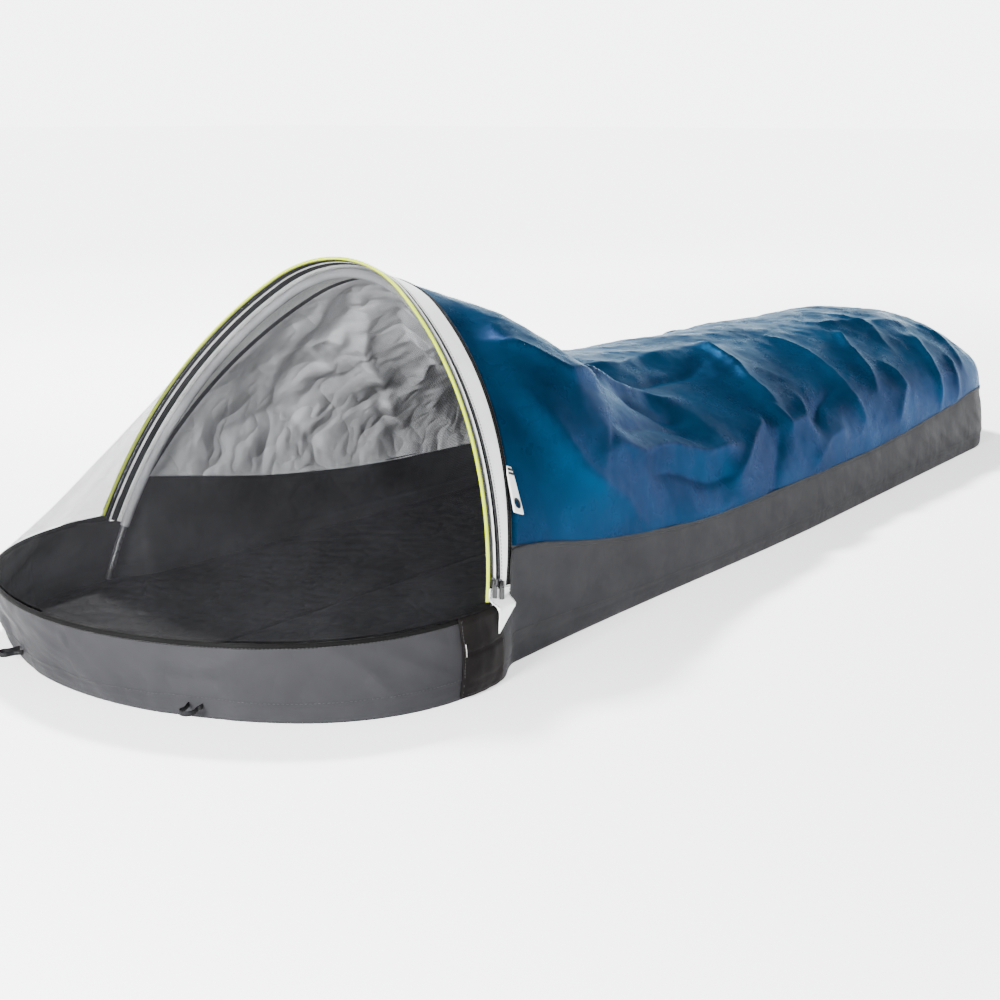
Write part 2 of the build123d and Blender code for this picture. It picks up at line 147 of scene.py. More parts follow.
def through(knots, values, at):
    """Monotone cubic through values at knots, so that nothing overshoots between them."""
    knots, values, at = np.asarray(knots, float), np.asarray(values, float), np.asarray(at, float)
    flat = values.reshape(len(knots), -1)
    step = np.diff(knots)[:, None]
    slope = np.diff(flat, axis=0) / step
    before, after = slope[:-1], slope[1:]
    w1, w2 = 2 * step[1:] + step[:-1], step[1:] + 2 * step[:-1]
    with np.errstate(divide="ignore", invalid="ignore"):
        inner = np.where(before * after > 0, (w1 + w2) / (w1 / before + w2 / after), 0)
    tangent = np.vstack([slope[:1], inner, slope[-1:]])
    i = np.clip(np.searchsorted(knots, at, side="right") - 1, 0, len(knots) - 2)
    t = ((at - knots[i]) / (knots[i + 1] - knots[i]))[:, None]
    gap = step[i]
    found = (
        (1 + 2 * t) * (1 - t) ** 2 * flat[i] + t * (1 - t) ** 2 * gap * tangent[i]
        + t * t * (3 - 2 * t) * flat[i + 1] + t * t * (t - 1) * gap * tangent[i + 1]
    )
    return found.reshape((len(at),) + values.shape[1:])


def hood(x, height, back):
    """Place on the leaning hood: x across, height up the arch, back towards the foot."""
    y = HOOP_Y + height * sin(LEAN) + back * cos(LEAN)
    z = height * cos(LEAN) - back * sin(LEAN)
    return join(x, y, z)


REARWARD = hood(0, 0, 1) - hood(0, 0, 0)
FLAP_FRONT = 0.0272


def outward_at(angle):
    """Direction out of the leaning hood at an angle round its arch."""
    return join(np.cos(angle), np.sin(angle) * sin(LEAN), np.sin(angle) * cos(LEAN))


def cover_back(height):
    """How far behind the arch's front edge the band ends and the blue top starts."""
    slope = tan(COVER_LEAN)
    run = COVER_START + height * (slope * cos(LEAN) - sin(LEAN))
    return run / (cos(LEAN) + slope * sin(LEAN))


def cover_height(z):
    """Height up the arch at which the band's rear edge is at z."""
    slope = tan(COVER_LEAN)
    span = cos(LEAN) + slope * sin(LEAN)
    growth = (slope * cos(LEAN) - sin(LEAN)) / span
    return (z + COVER_START * sin(LEAN) / span) / (cos(LEAN) - growth * sin(LEAN))


LEG = arch_radii(HALF, ARCH_RISE)[0]
COVER_FOOT = cover_height(FRONT_SEAM[2])
COVER_FOOT_Y = COVER_FOOT * sin(LEAN) + cover_back(COVER_FOOT) * cos(LEAN)


def ground_half(y):
    """Half width of the floor at a distance from the hoop's feet."""
    return HALF + (FOOT_HALF - HALF) * y / FOOT_START


def noise(x, y, seed):
    """Smooth gradient noise from about -1 to 1, one cell to the unit."""
    turn = np.random.default_rng(seed).uniform(0, 2 * pi, (64, 64))
    cell_x, cell_y = np.floor(x).astype(int), np.floor(y).astype(int)
    dx, dy = x - cell_x, y - cell_y
    ease_x, ease_y = (d**3 * (d * (d * 6 - 15) + 10) for d in (dx, dy))

    def corner(i, j):
        angle = turn[(cell_x + i) % 64, (cell_y + j) % 64]
        return np.cos(angle) * (dx - i) + np.sin(angle) * (dy - j)

    low = corner(0, 0) + ease_x * (corner(1, 0) - corner(0, 0))
    high = corner(0, 1) + ease_x * (corner(1, 1) - corner(0, 1))
    return 1.4 * (low + ease_y * (high - low))


def ridges(x, y, seed, soft=0.06):
    """Noise folded over at zero: sharp crests with wide troughs, from 0 to about 1."""
    return 1 - np.sqrt(noise(x, y, seed) ** 2 + soft**2)


CREST_WIDTH, CREST_SHARE, CREST_LIMIT = 0.011, 0.2, 0.0025
FOLD_ROUNDING = 0.003
FOLD_FADE = 0.25


def fold(a, b, height, width, lee, *route):
    """Ridge in the cloth along a route of (across, along) points, faded at both ends.

    It takes a and b in metres, and the rest in millimetres. The side that the route has on its
    left is lee times as wide as the other one.
    """
    near = np.full(a.shape, np.inf)
    share, side = np.zeros(a.shape), np.zeros(a.shape)
    height, width, route = height / 1000, width / 1000, np.array(route) / 1000
    for i, run in enumerate(np.diff(route, axis=0)):
        from_a, from_b = a - route[i][0], b - route[i][1]
        t = np.clip((from_a * run[0] + from_b * run[1]) / (run @ run), 0, 1)
        gap_a, gap_b = from_a - t * run[0], from_b - t * run[1]
        gap = np.hypot(gap_a, gap_b)
        nearer = gap < near
        near = np.where(nearer, gap, near)
        share = np.where(nearer, (i + t) / (len(route) - 1), share)
        side = np.where(nearer, run[0] * gap_b - run[1] * gap_a, side)
    reach = np.where(side > 0, width * lee, width)
    fade = smooth(0, FOLD_FADE, share) * (1 - smooth(1 - FOLD_FADE, 1, share))
    broad = np.exp(-((near**2 + FOLD_ROUNDING**2) ** 0.5) / reach)
    crest = np.clip(CREST_SHARE * height, -CREST_LIMIT, CREST_LIMIT)
    return fade * (height * broad + crest * np.exp(-((near / CREST_WIDTH) ** 2)))


def normals(points):
    """Unit normals of a grid of points, by its two directions."""
    return unit(np.cross(np.gradient(points, axis=0), np.gradient(points, axis=1)))


def level_normals(along):
    """Unit level directions to the right of the given ones."""
    return unit(join(along[..., 1], -along[..., 0], 0))


def distances(points, axis):
    """Running length in metres along one direction of a grid."""
    step = np.linalg.norm(np.diff(points, axis=axis), axis=-1)
    pad = [(0, 0), (0, 0)]
    pad[axis] = (1, 0)
    return np.cumsum(np.pad(step, pad), axis=axis)


# ---- Meshes


def new_object(name, data):
    obj = bpy.data.objects.new(name, data)
    bpy.context.scene.collection.objects.link(obj)
    return obj


def build_mesh(name, points, faces, uv, mats, face_mats=None):
    """Smooth mesh object whose UV layer holds metres over the surface."""
    mesh = bpy.data.meshes.new(name)
    mesh.from_pydata(points.tolist(), [], faces.tolist())
    layer = mesh.uv_layers.new(name="metres")
    loops = np.empty(len(mesh.loops), np.int32)
    mesh.loops.foreach_get("vertex_index", loops)
    layer.data.foreach_set("uv", uv[loops].astype(np.float32).ravel())
    for mat in mats:
        mesh.materials.append(mat)
    if face_mats is not None:
        mesh.polygons.foreach_set("material_index", face_mats.astype(np.int32))
    mesh.polygons.foreach_set("use_smooth", np.ones(len(mesh.polygons), bool))
    mesh.validate()
    return new_object(name, mesh)


def grid_faces(rows, columns, wrap=False):
    """Quads of a grid of points; a wrapped grid closes on itself across its columns."""
    width = columns if wrap else columns - 1
    i, j = np.meshgrid(np.arange(rows - 1), np.arange(width), indexing="ij")
    k = (j + 1) % columns
    this, following = i * columns, (i + 1) * columns
    return join(this + j, following + j, following + k, this + k).reshape(-1, 4)


def metres(points):
    """UV in metres for each point of a grid."""
    return join(distances(points, 1), distances(points, 0)).reshape(-1, 2)


def shell(name, outer, inner, mats, wrap=False):
    """Closed sheet between two grids: the outer face takes mats[0], the rest mats[-1]."""
    rows, columns = outer.shape[:2]
    count = rows * columns
    uv = metres(outer)
    face = grid_faces(rows, columns, wrap)
    back = face[:, ::-1] + count
    index = np.arange(count).reshape(rows, columns)
    edges = [index[0], index[-1][::-1]]
    if not wrap:
        edges += [index[:, 0][::-1], index[:, -1]]
    rims = []
    for edge in edges:
        if wrap:
            edge = np.append(edge, edge[0])
        rims.append(join(edge[:-1], edge[1:], edge[1:] + count, edge[:-1] + count))
    rims = np.concatenate(rims)
    points = np.concatenate([outer.reshape(-1, 3), inner.reshape(-1, 3)])
    inside = np.full(len(back) + len(rims), len(mats) - 1)
    kinds = np.concatenate([np.zeros(len(face), int), inside])
    faces = np.concatenate([face, back, rims])
    return build_mesh(name, points, faces, np.concatenate([uv, uv]), mats, kinds)


def tube(name, rings, mats):
    """Closed mesh through rings of points, with a fan of quads at each end."""
    rows, columns = rings.shape[:2]
    faces = [grid_faces(rows, columns, True)]
    every_other = np.arange(columns)[::2]
    for row, centre, flip in ((0, rows * columns, 1), (rows - 1, rows * columns + 1, -1)):
        fan = [row * columns + (every_other + step) % columns for step in range(3)]
        faces.append(join(centre, *fan)[:, ::flip])
    uv = metres(rings)
    points = np.concatenate([rings.reshape(-1, 3), rings[[0, -1]].mean(1)])
    return build_mesh(name, points, np.concatenate(faces), np.concatenate([uv, uv[[0, -1]]]), mats)


# A bar's rings: place along it as a share of its length, and size as a share of its own.
BAR_RINGS = ((-0.5, 0.55), (-0.3, 1.0), (0.3, 1.0), (0.5, 0.55))
BAR_SIDES = 6


def bars(name, centres, along, up, size, mats):
    """Many small rounded bars: size is length along, width and height.

    The directions along and up are the same for all bars, or one for each.
    """
    along = unit(along)
    side = unit(np.cross(up, along))
    up = np.cross(along, side)
    long, wide, high = size
    points = []
    for share, scale in BAR_RINGS:
        for turn in -2 * pi * np.arange(BAR_SIDES) / BAR_SIDES:
            points.append(
                centres + along * long * share + side * wide / 2 * scale * cos(turn)
                + up * high / 2 * scale * sin(turn)
            )
    points = np.stack(points, 1)
    one = np.concatenate([grid_faces(len(BAR_RINGS), BAR_SIDES, True),
                          [[0, 1, 2, 3], [0, 3, 4, 5], [21, 20, 19, 18], [23, 22, 21, 18]]])
    first = points.shape[1] * np.arange(len(centres))
    faces = (one[None] + first[:, None, None]).reshape(-1, 4)
    points = points.reshape(-1, 3)
    return build_mesh(name, points, faces, np.zeros((len(points), 2)), mats)


def along_path(path, pitch, *beside):
    """Places and directions at an even pitch along a line of points, then what goes beside it."""
    reach = np.concatenate([[0], np.cumsum(np.linalg.norm(np.diff(path, axis=0), axis=1))])
    at = np.arange(pitch / 2, reach[-1], pitch)
    return [join(*(np.interp(at, reach, line[:, k]) for k in range(3)))
            for line in (path, np.gradient(path, axis=0), *beside)]


def thread_bars(name, places, along, up, size, body):
    placed(bars(name, places, along, up, size, [THREAD]), body, "seam_thread")


STITCH_SIZE = (0.0028, 0.0007, 0.0007 * 0.8)


def stitch_row(name, path, up, pitch=0.0042):
    """Row of thread stitches along a line, with the cloth's outward direction beside it."""
    thread_bars(name, *along_path(path, pitch, up), STITCH_SIZE, "sack")


def sweep(name, path, out, profile, mats, up=None):
    """Strip along a path: the profile's pairs run along up and out at each point."""
    if up is None:
        up = unit(np.cross(out, unit(np.gradient(path, axis=0))))
    up = np.broadcast_to(up, path.shape)[:, None]
    rings = path[:, None] + up * profile[None, :, :1] + out[:, None] * profile[None, :, 1:]
    return tube(name, rings, mats)


def placed(obj, body, slot, *replaced):
    """Put a piece in place of CAD nodes and let it ride on its body; the slot is not used."""
    if replaced:
        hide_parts(*replaced)
    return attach(obj, body)


# ---- Materials


def new_material(name, colour, roughness, **settings):
    """Principled material: the settings are socket names with underscores for spaces."""
    mat = bpy.data.materials.new(name)
    mat.use_nodes = True
    shader = mat.node_tree.nodes["Principled BSDF"]
    shader.inputs["Base Color"].default_value = (*colour, 1)
    shader.inputs["Roughness"].default_value = roughness
    for key, value in settings.items():
        shader.inputs[key.replace("_", " ")].default_value = value
    return mat


def node(owner, kind, inputs=(), **settings):
    """New node of a material or world: an input is a value, or another node's output to link."""
    made = owner.node_tree.nodes.new(kind)
    for key, value in settings.items():
        setattr(made, key, value)
    for key, value in dict(inputs).items():
        if hasattr(value, "is_linked"):
            owner.node_tree.links.new(value, made.inputs[key])
        else:
            made.inputs[key].default_value = value
    return made


def maths(mat, operation, *values):
    return node(mat, "ShaderNodeMath", enumerate(values), operation=operation).outputs[0]


def link(mat, output, socket):
    mat.node_tree.links.new(output, mat.node_tree.nodes["Principled BSDF"].inputs[socket])


def place_of(mat):
    return node(mat, "ShaderNodeTexCoord").outputs["Object"]


def cloud(mat, scale, detail=3.0, roughness=0.55):
    """Soft noise over the object, from 0 to 1 and mostly near its middle."""
    return node(mat, "ShaderNodeTexNoise",
                {"Vector": place_of(mat), "Scale": scale, "Detail": detail,
                 "Roughness": roughness}).outputs["Fac"]


def ramp(owner, value, low, high, at_low=0.0, at_high=1.0, shape="LINEAR"):
    """Map a value from one range to another."""
    return node(owner, "ShaderNodeMapRange",
                {"Value": value, "From Min": low, "From Max": high, "To Min": at_low,
                 "To Max": at_high}, interpolation_type=shape).outputs[0]


def spread(mat, factor, *ends):
    """Map a cloud's usual range to the given ends, or to 0 and 1."""
    return ramp(mat, factor, 0.3, 0.7, *ends)


def shades(mat, factor, dark, light):
    """Base colour that goes from dark to light with a factor."""
    mix = node(mat, "ShaderNodeMix", {0: spread(mat, factor), 6: (*dark, 1), 7: (*light, 1)},
               data_type="RGBA")
    link(mat, mix.outputs[2], "Base Color")


def thread_waves(mat, pitch):
    """Sine waves across and along the cloth, by its own metres."""
    uv = node(mat, "ShaderNodeUVMap", uv_map="metres").outputs[0]
    parts = node(mat, "ShaderNodeSeparateXYZ", {0: uv})
    return [maths(mat, "SINE", maths(mat, "MULTIPLY", parts.outputs[k], 2 * pi / pitch))
            for k in (0, 1)]


def bump(mat, *layers):
    """Bump from (height, strength, distance) layers, one on top of the other."""
    below = {}
    for height, strength, distance in layers:
        made = node(mat, "ShaderNodeBump",
                    {"Height": height, "Strength": strength, "Distance": distance, **below})
        below = {"Normal": made.outputs[0]}
    link(mat, below["Normal"], "Normal")


def crease_lines(mat, scale):
    """Sharp creases with flat cloth between them: noise folded over at its middle."""
    return maths(mat, "ABSOLUTE", maths(mat, "SUBTRACT", cloud(mat, scale, 1.5), 0.5))


def cloth(name, dark, light, roughness, pitch, crinkle, film=0.0, shine=0.25, **settings):
    """Woven cloth: two shades in soft clouds, thread weave, fine crinkles and uneven gloss.

    A coated cloth has film above 0 and shows faceted creases.
    """
    mat = new_material(name, light, roughness, Specular_IOR_Level=shine, **settings)
    shades(mat, cloud(mat, 9, 4), dark, light)
    link(mat, spread(mat, cloud(mat, 22), roughness - 0.06, roughness + 0.08), "Roughness")
    weave = maths(mat, "MULTIPLY", *thread_waves(mat, pitch))
    layers = [(cloud(mat, 34, 5, 0.6), crinkle, 0.003), (weave, 0.25, pitch / 4)]
    if film:
        layers = [(crease_lines(mat, 8), film, 0.050),
                  (crease_lines(mat, 21), film, 0.018)] + layers
    bump(mat, *layers)
    return mat


def hard_material(name, colour, roughness, grain, **settings):
    """Moulded or drawn part: fine grain, with handling marks in its gloss."""
    mat = new_material(name, colour, roughness, **settings)
    shades(mat, cloud(mat, 60), tuple(0.75 * c for c in colour), colour)
    link(mat, spread(mat, cloud(mat, 180), roughness - 0.08, roughness + 0.1), "Roughness")
    bump(mat, (cloud(mat, grain, 2), 0.15, 0.0003))
    return mat


NET_PITCH = 0.0011
NET_EDGE = 0.92


def netting_material():
    """Fine dark net: crossed threads with open cells between them."""
    mat = new_material("netting", (0.014, 0.015, 0.017), 0.7, Specular_IOR_Level=0.05)
    threads = [maths(mat, "GREATER_THAN", wave, NET_EDGE) for wave in thread_waves(mat, NET_PITCH)]
    shades(mat, cloud(mat, 12), (0.006, 0.006, 0.007), (0.014, 0.014, 0.016))
    link(mat, maths(mat, "MAXIMUM", *threads), "Alpha")
    return mat


BLUE = cloth("top_blue", (0.0001, 0.013, 0.034), (0.0003, 0.0265, 0.065), 0.29, 0.0009, 0.06, 0.05,
    Metallic=0.40, shine=0.025, Specular_Tint=(0.03, 0.43, 0.68, 1))
SILVER = cloth("top_lining", (0.66, 0.67, 0.69), (0.86, 0.87, 0.89), 0.36, 0.0009, 0.25, 0.9,
    Metallic=0.15)
GREY = cloth("wall_grey", (0.0168, 0.0168, 0.0184), (0.024, 0.024, 0.0261), 0.48, 0.0010, 0.2, 0.15,
    shine=0.03)
GREY_IN = cloth("wall_coating", (0.011, 0.011, 0.012), (0.020, 0.020, 0.021), 0.48, 0.0010, 0.2,
    0.3, shine=0.1)
FLOOR_IN = cloth("floor_coating", (0.006, 0.006, 0.007), (0.012, 0.012, 0.013), 0.5, 0.0010, 0.3,
    0.4, shine=0.08)
WHITE = cloth("flap_white", (0.72, 0.74, 0.72), (0.86, 0.87, 0.86), 0.5, 0.0009, 0.12)
LIME = cloth("piping_lime", (0.30, 0.38, 0.001), (0.42, 0.52, 0.003), 0.5, 0.0007, 0.05)
PALE_PIPING = cloth("piping_pale", (0.66, 0.68, 0.66), (0.82, 0.83, 0.82), 0.5, 0.0007, 0.05)
BINDING = cloth("binding_black", (0.001, 0.001, 0.001), (0.003, 0.003, 0.003), 0.7, 0.0009, 0.1,
    shine=0.06)
TAPE = cloth("zip_tape", (0.002, 0.002, 0.0025), (0.005, 0.005, 0.0055), 0.7, 0.0008, 0.05,
    shine=0.06)
POCKET = cloth("pocket_cloth", (0.0035, 0.003, 0.003), (0.009, 0.0075, 0.007), 0.6, 0.0013, 0.3,
    0.2, shine=0.04)
WEB_BLACK = cloth("webbing_black", (0.003, 0.003, 0.0035), (0.008, 0.008, 0.009), 0.65, 0.0014,
    0.08, shine=0.1)
WEB_PALE = cloth("webbing_pale", (0.62, 0.63, 0.60), (0.80, 0.81, 0.78), 0.6, 0.0014, 0.08)
SLEEVE = cloth("sleeve_cloth", (0.20, 0.205, 0.215), (0.32, 0.325, 0.34), 0.5, 0.0009, 0.3)
THREAD = hard_material("thread", (0.009, 0.009, 0.0095), 0.7, 900)
COIL = hard_material("zip_coil", (0.014, 0.014, 0.015), 0.32, 700)
NETTING = netting_material()
SLIDER = hard_material("slider_metal", (0.05, 0.05, 0.052), 0.34, 900, Metallic=0.9)
PULL = hard_material("pull_rubber", (0.016, 0.016, 0.017), 0.55, 500)
POLE = hard_material("pole_glassfibre", (0.055, 0.058, 0.062), 0.3, 400, Coat_Weight=0.3)
FERRULE = hard_material("ferrule_metal", (0.62, 0.63, 0.65), 0.28, 900, Metallic=1.0)
TIP = hard_material("tip_plastic", (0.014, 0.014, 0.015), 0.45, 500)
CORD = hard_material("shock_cord", (0.02, 0.02, 0.022), 0.6, 1200)


# ---- Bathtub: wall, floor and their seams


def pinch(y):
    """How far the side wall is drawn in behind the hoop's feet."""
    return 0.024 * smooth(0.050, 0.115, y) * (1 - smooth(0.16, 0.95, y))


def side_top(y):
    """Seam inset and height of the side wall's top edge."""
    y = np.asarray(y, float)
    corner = (COVER_FOOT_Y, FRONT_SEAM[1], FRONT_SEAM[2])
    front = [(0, 0, RIM_Z - 0.002), (0.070, 0.003, RIM_Z - 0.008), corner]
    lines = np.array(front + [tuple(row) for row in SEAM_LINE[1:]])
    return through(lines[:, 0], lines[:, 1:], y)


WALL_ROWS = 30
HEAD_COLUMNS, SIDE_COLUMNS, FOOT_COLUMNS = 150, 330, 100


def half_wall():
    """Right half of the bathtub wall: head, side and foot, with its rows from the floor up."""
    up = shares(WALL_ROWS)[:, None]
    share = np.linspace(0.5, 0, HEAD_COLUMNS, endpoint=False)
    reach = FLOOR_REACH + (RIM_REACH - FLOOR_REACH) * up[:, 0]
    x, y, _ = np.stack([arch(HALF, r, share) for r in reach], 1)
    head = join(x, HOOP_Y - y, RIM_Z * up)
    y = np.linspace(0, FOOT_START, SIDE_COLUMNS, endpoint=False)
    inset, top = side_top(y).T
    x = ground_half(y) - inset * up - pinch(y) * (1 - up) ** 0.7
    side = join(x, HOOP_Y + y, top * up)
    drawn_in = FOOT_INSET * up[:, 0]
    share = np.linspace(0, 0.5, FOOT_COLUMNS)
    x, y, _ = np.stack([arch(FOOT_HALF - d, FOOT_REACH - d, share) for d in drawn_in], 1)
    foot = join(x, HOOP_Y + FOOT_START + y, FOOT_SEAM_Z * up)
    return np.concatenate([head, side, foot], 1)


right_wall = half_wall()
left_wall = right_wall[:, ::-1] * (-1, 1, 1)
wall_base = np.concatenate([right_wall, left_wall[:, 1:-1]], 1)


LOOP_RADIUS, LOOP_LEG, LOOP_Z = 0.0081, 0.015, 0.015
LOOP_CLEARANCE = 0.003
HEAD_LOOP_X, FOOT_LOOP_X = 0.150, 0.135


def loop_frame(side, end):
    """Where a stake loop leaves the foot of the wall, and the level direction outward."""
    head = end == "head"
    wall_share = (LOOP_Z - FLOOR_Z) / (RIM_Z - FLOOR_Z)
    rise = FLOOR_REACH + (RIM_REACH - FLOOR_REACH) * wall_share if head else FOOT_REACH
    crown = arch_radii(HALF if head else FOOT_HALF, rise)[1]
    turn = asin((HEAD_LOOP_X if head else FOOT_LOOP_X) / crown)
    base_y, ahead = (HOOP_Y, -1) if head else (HOOP_Y + FOOT_START, 1)
    outward = np.array([side * sin(turn), ahead * cos(turn), 0])
    centre = np.array([0, base_y + ahead * (rise - crown), LOOP_Z])
    return centre + (crown + LOOP_CLEARANCE) * outward, outward


# Slack in the head's wall: height, width, lee, and the route round from the middle and up it.
WALL_FOLDS = (
    (5, 8, 2, (-390, 102), (-325, 60), (-280, 8)),
    (3.6, 8, 2, (-320, 104), (-255, 62), (-215, 20)),
    (4, 8, 1.6, (-440, 102), (-405, 55), (-395, 8)),
    (2.2, 10, 1.6, (-120, 100), (-70, 60), (-10, 40)),
    (2.4, 10, 1.6, (90, 30), (170, 52), (230, 90)),
    (3.6, 8, 1.8, (290, 104), (345, 60), (380, 10)),
)
HEM_Z, HEM_DEPTH, HEM_WIDTH = 0.020, 0.0012, 0.0022


def wall_relief(points):
    """Bulge, hem seam, corner folds and small wrinkles of the wall, outward in metres."""
    run = distances(points, 1)
    up = shares(len(points))[:, None]
    z = points[..., 2]
    free = np.sin(pi * up) ** 0.6
    relief = 0.0035 * np.sin(pi * up)
    relief = relief + 0.0028 * free * noise(run * 7, z * 6 + run * 1.5, 11)
    relief += 0.0022 * free * ridges(run * 11 + z * 20, z * 9, 12)
    relief += 0.0012 * free * noise(run * 30 + z * 30, z * 25, 13)
    whole = run[:, -1:]
    round_head = np.where(run > whole / 2, run - whole, run)
    for row in WALL_FOLDS:
        relief = relief + free * fold(round_head, z + 0 * run, *row)
    relief -= HEM_DEPTH * np.exp(-((z - HEM_Z) / HEM_WIDTH) ** 2)
    # The wall lies flat near the stake loops, so that they can swing.
    for side in (1, -1):
        for end in ("head", "foot"):
            place, _ = loop_frame(side, end)
            apart = np.hypot(points[..., 0] - place[0], points[..., 1] - place[1])
            held = (1 - smooth(0.025, 0.050, apart)) * (1 - smooth(0.045, 0.070, z))
            relief = relief * (1 - held) - 0.0015 * held
    return relief


wall_out = level_normals(np.roll(wall_base, -1, 1) - np.roll(wall_base, 1, 1))
wall_outer = wall_base + wall_out * wall_relief(wall_base)[..., None]
wall_inner = wall_outer - wall_out * CLOTH
wall = shell("bathtub_wall", wall_outer[::-1], wall_inner[::-1], [GREY, GREY_IN], wrap=True)
placed(wall, "sack", "floor_fabric", "head_wall", "foot_wall", "side_wall_left",
       "side_wall_right")


def floor_sheet():
    """Upper and lower face of the floor: rings drawn in from the wall's foot to a spine."""
    edge = wall_outer[0]
    spine = np.zeros_like(edge)
    spine[:, 1] = np.clip(edge[:, 1], HOOP_Y - 0.08, HOOP_Y + FOOT_START + 0.05)
    share = shares(26)[:, None, None]
    points = edge * (1 - share) + spine * share
    x, y = points[..., 0], points[..., 1]
    crumple = ridges(x * 6, y * 4, 21) + 0.5 * ridges(x * 14, y * 11, 22)
    inside = smooth(0, 0.25, share[..., 0])
    points[..., 2] = FLOOR_Z + 0.0035 * inside * np.clip(crumple, 0, 2)
    under = points.copy()
    under[..., 2] -= 0.0015
    under[0, :, 2] = 0
    return points, under


floor_top, floor_under = floor_sheet()
floor_piece = shell("bathtub_floor", floor_top[::-1], floor_under[::-1], [FLOOR_IN, GREY],
                    wrap=True)
placed(floor_piece, "sack", "floor_fabric", "floor_panel")


# ---- Laminate top

ACROSS = 281
TOP_ROWS = 340
top_share = shares(ACROSS)


def top_keys():
    """Key sections of the top from the band's rear edge to the tip of the foot."""
    start = asin(COVER_FOOT / LEG)
    x, height, _ = arch(HALF, ARCH_RISE, top_share, start)
    keys = [hood(x, height, cover_back(height))]
    for y, inset, seam, ridge in BODY_STATIONS:
        x, height, _ = arch(ground_half(y) - inset, ridge - seam, top_share)
        keys.append(join(x, HOOP_Y + y, seam + height))
    half, reach = FOOT_HALF - FOOT_INSET, FOOT_REACH - FOOT_INSET
    for turn in np.radians((15, 30, 45, 58, 70, 80, 86, 90)):
        y = reach * sin(turn)
        width = max(float(arch_half(half, reach, y)), 1e-4)
        rise = max((FOOT_RIDGE - FOOT_SEAM_Z) * cos(turn), 1e-4)
        x, height, _ = arch(width, rise, top_share)
        keys.append(join(x, HOOP_Y + FOOT_START + y, FOOT_SEAM_Z + height))
    keys = np.array(keys)
    return distances(keys, 0)[:, ACROSS // 2], keys


top_at, top_sections = top_keys()
top_rows = np.linspace(0, top_at[-1], TOP_ROWS)
top_base = through(top_at, top_sections, top_rows)


def cloth_places(points):
    """Metres over the cloth: across from the ridge, right side positive, and along the sack."""
    run = distances(points, 1)
    return run[:, -1:] / 2 - run, points[..., 1] - HOOP_Y


# Folds of the pitched sack: height, width, lee, and the route across and along the top.
RIGHT_FOLDS = (
    (26, 40, 2.6, (185, 150), (240, 203), (305, 233), (371, 270), (403, 303), (450, 470)),
    (15, 20, 2, (150, 215), (224, 293), (251, 323), (242, 440)),
    (14, 17, 1.8, (160, 400), (190, 502), (184, 589), (215, 700)),
    (-14, 40, 1, (120, 480), (150, 620), (135, 760), (110, 900)),
    (-12, 30, 1, (210, 460), (235, 560), (232, 660)),
    (21, 22, 1.9, (375, 290), (325, 440), (300, 560), (297, 740)),
    (-10, 18, 1.2, (330, 330), (290, 440), (262, 560), (255, 660)),
    (-12, 26, 1, (360, 400), (345, 540), (340, 700)),
    (13, 15, 2.4, (40, 950), (100, 918), (183, 877), (290, 883)),
    (13, 14, 1.4, (220, 850), (290, 880), (295, 925), (225, 975)),
    (16, 20, 1.6, (365, 620), (330, 685), (290, 760), (245, 840)),
    (-10, 22, 1, (400, 760), (340, 800), (280, 860)),
    (11, 15, 1.4, (415, 480), (390, 590), (372, 760)),
    (-11, 30, 1, (320, 930), (275, 1010), (240, 1130)),
    (11, 18, 1.5, (370, 900), (330, 980), (310, 1080)),
    (7, 26, 1.5, (60, 560), (75, 720), (50, 900)),
    (7, 11, 2, (60, 1120), (150, 1150), (260, 1120), (350, 1140)),
    (9, 11, 2.2, (110, 1330), (180, 1270), (290, 1220)),
    (7, 9, 1.5, (210, 1310), (280, 1330), (360, 1250)),
    (6, 11, 1.8, (40, 1420), (130, 1450), (220, 1400)),
    (10, 11, 1.7, (150, 1540), (250, 1480), (350, 1470)),
    (7, 8, 1.4, (230, 1590), (290, 1560), (350, 1540)),
    (6, 10, 1.4, (100, 1660), (200, 1650), (280, 1600)),
    (7, 22, 1.5, (60, 1300), (110, 1450), (130, 1620)),
)
LEFT_FOLDS = (
    (-9, 16, 1.6, (-10, 205), (-150, 205), (-360, 185)),
    (8, 17, 1.5, (-20, 215), (-180, 240), (-390, 230)),
    (-9, 17, 1.6, (-30, 225), (-170, 285), (-370, 300)),
    (8, 18, 1.6, (-30, 240), (-150, 330), (-280, 360)),
    (-14, 15, 1.5, (-190, 385), (-232, 323), (-262, 430)),
    (-20, 18, 2, (-90, 300), (-190, 415), (-250, 495), (-350, 650)),
    (14, 20, 1.5, (-70, 340), (-150, 470), (-210, 620)),
    (-14, 16, 1.5, (-110, 410), (-160, 530), (-240, 570)),
    (14, 18, 1.6, (-230, 490), (-300, 540), (-390, 660)),
    (-13, 17, 1.4, (-200, 610), (-290, 660), (-370, 780)),
    (13, 22, 1.4, (-410, 200), (-370, 330), (-400, 490)),
    (12, 18, 1.6, (-120, 880), (-220, 860), (-340, 900)),
    (12, 20, 1.5, (-60, 720), (-170, 770), (-320, 760)),
    (-11, 20, 1.4, (-100, 1080), (-200, 1040), (-350, 1050)),
    (12, 17, 1.6, (-140, 1280), (-240, 1230), (-350, 1210)),
    (12, 16, 1.5, (-170, 1480), (-250, 1430), (-340, 1420)),
)


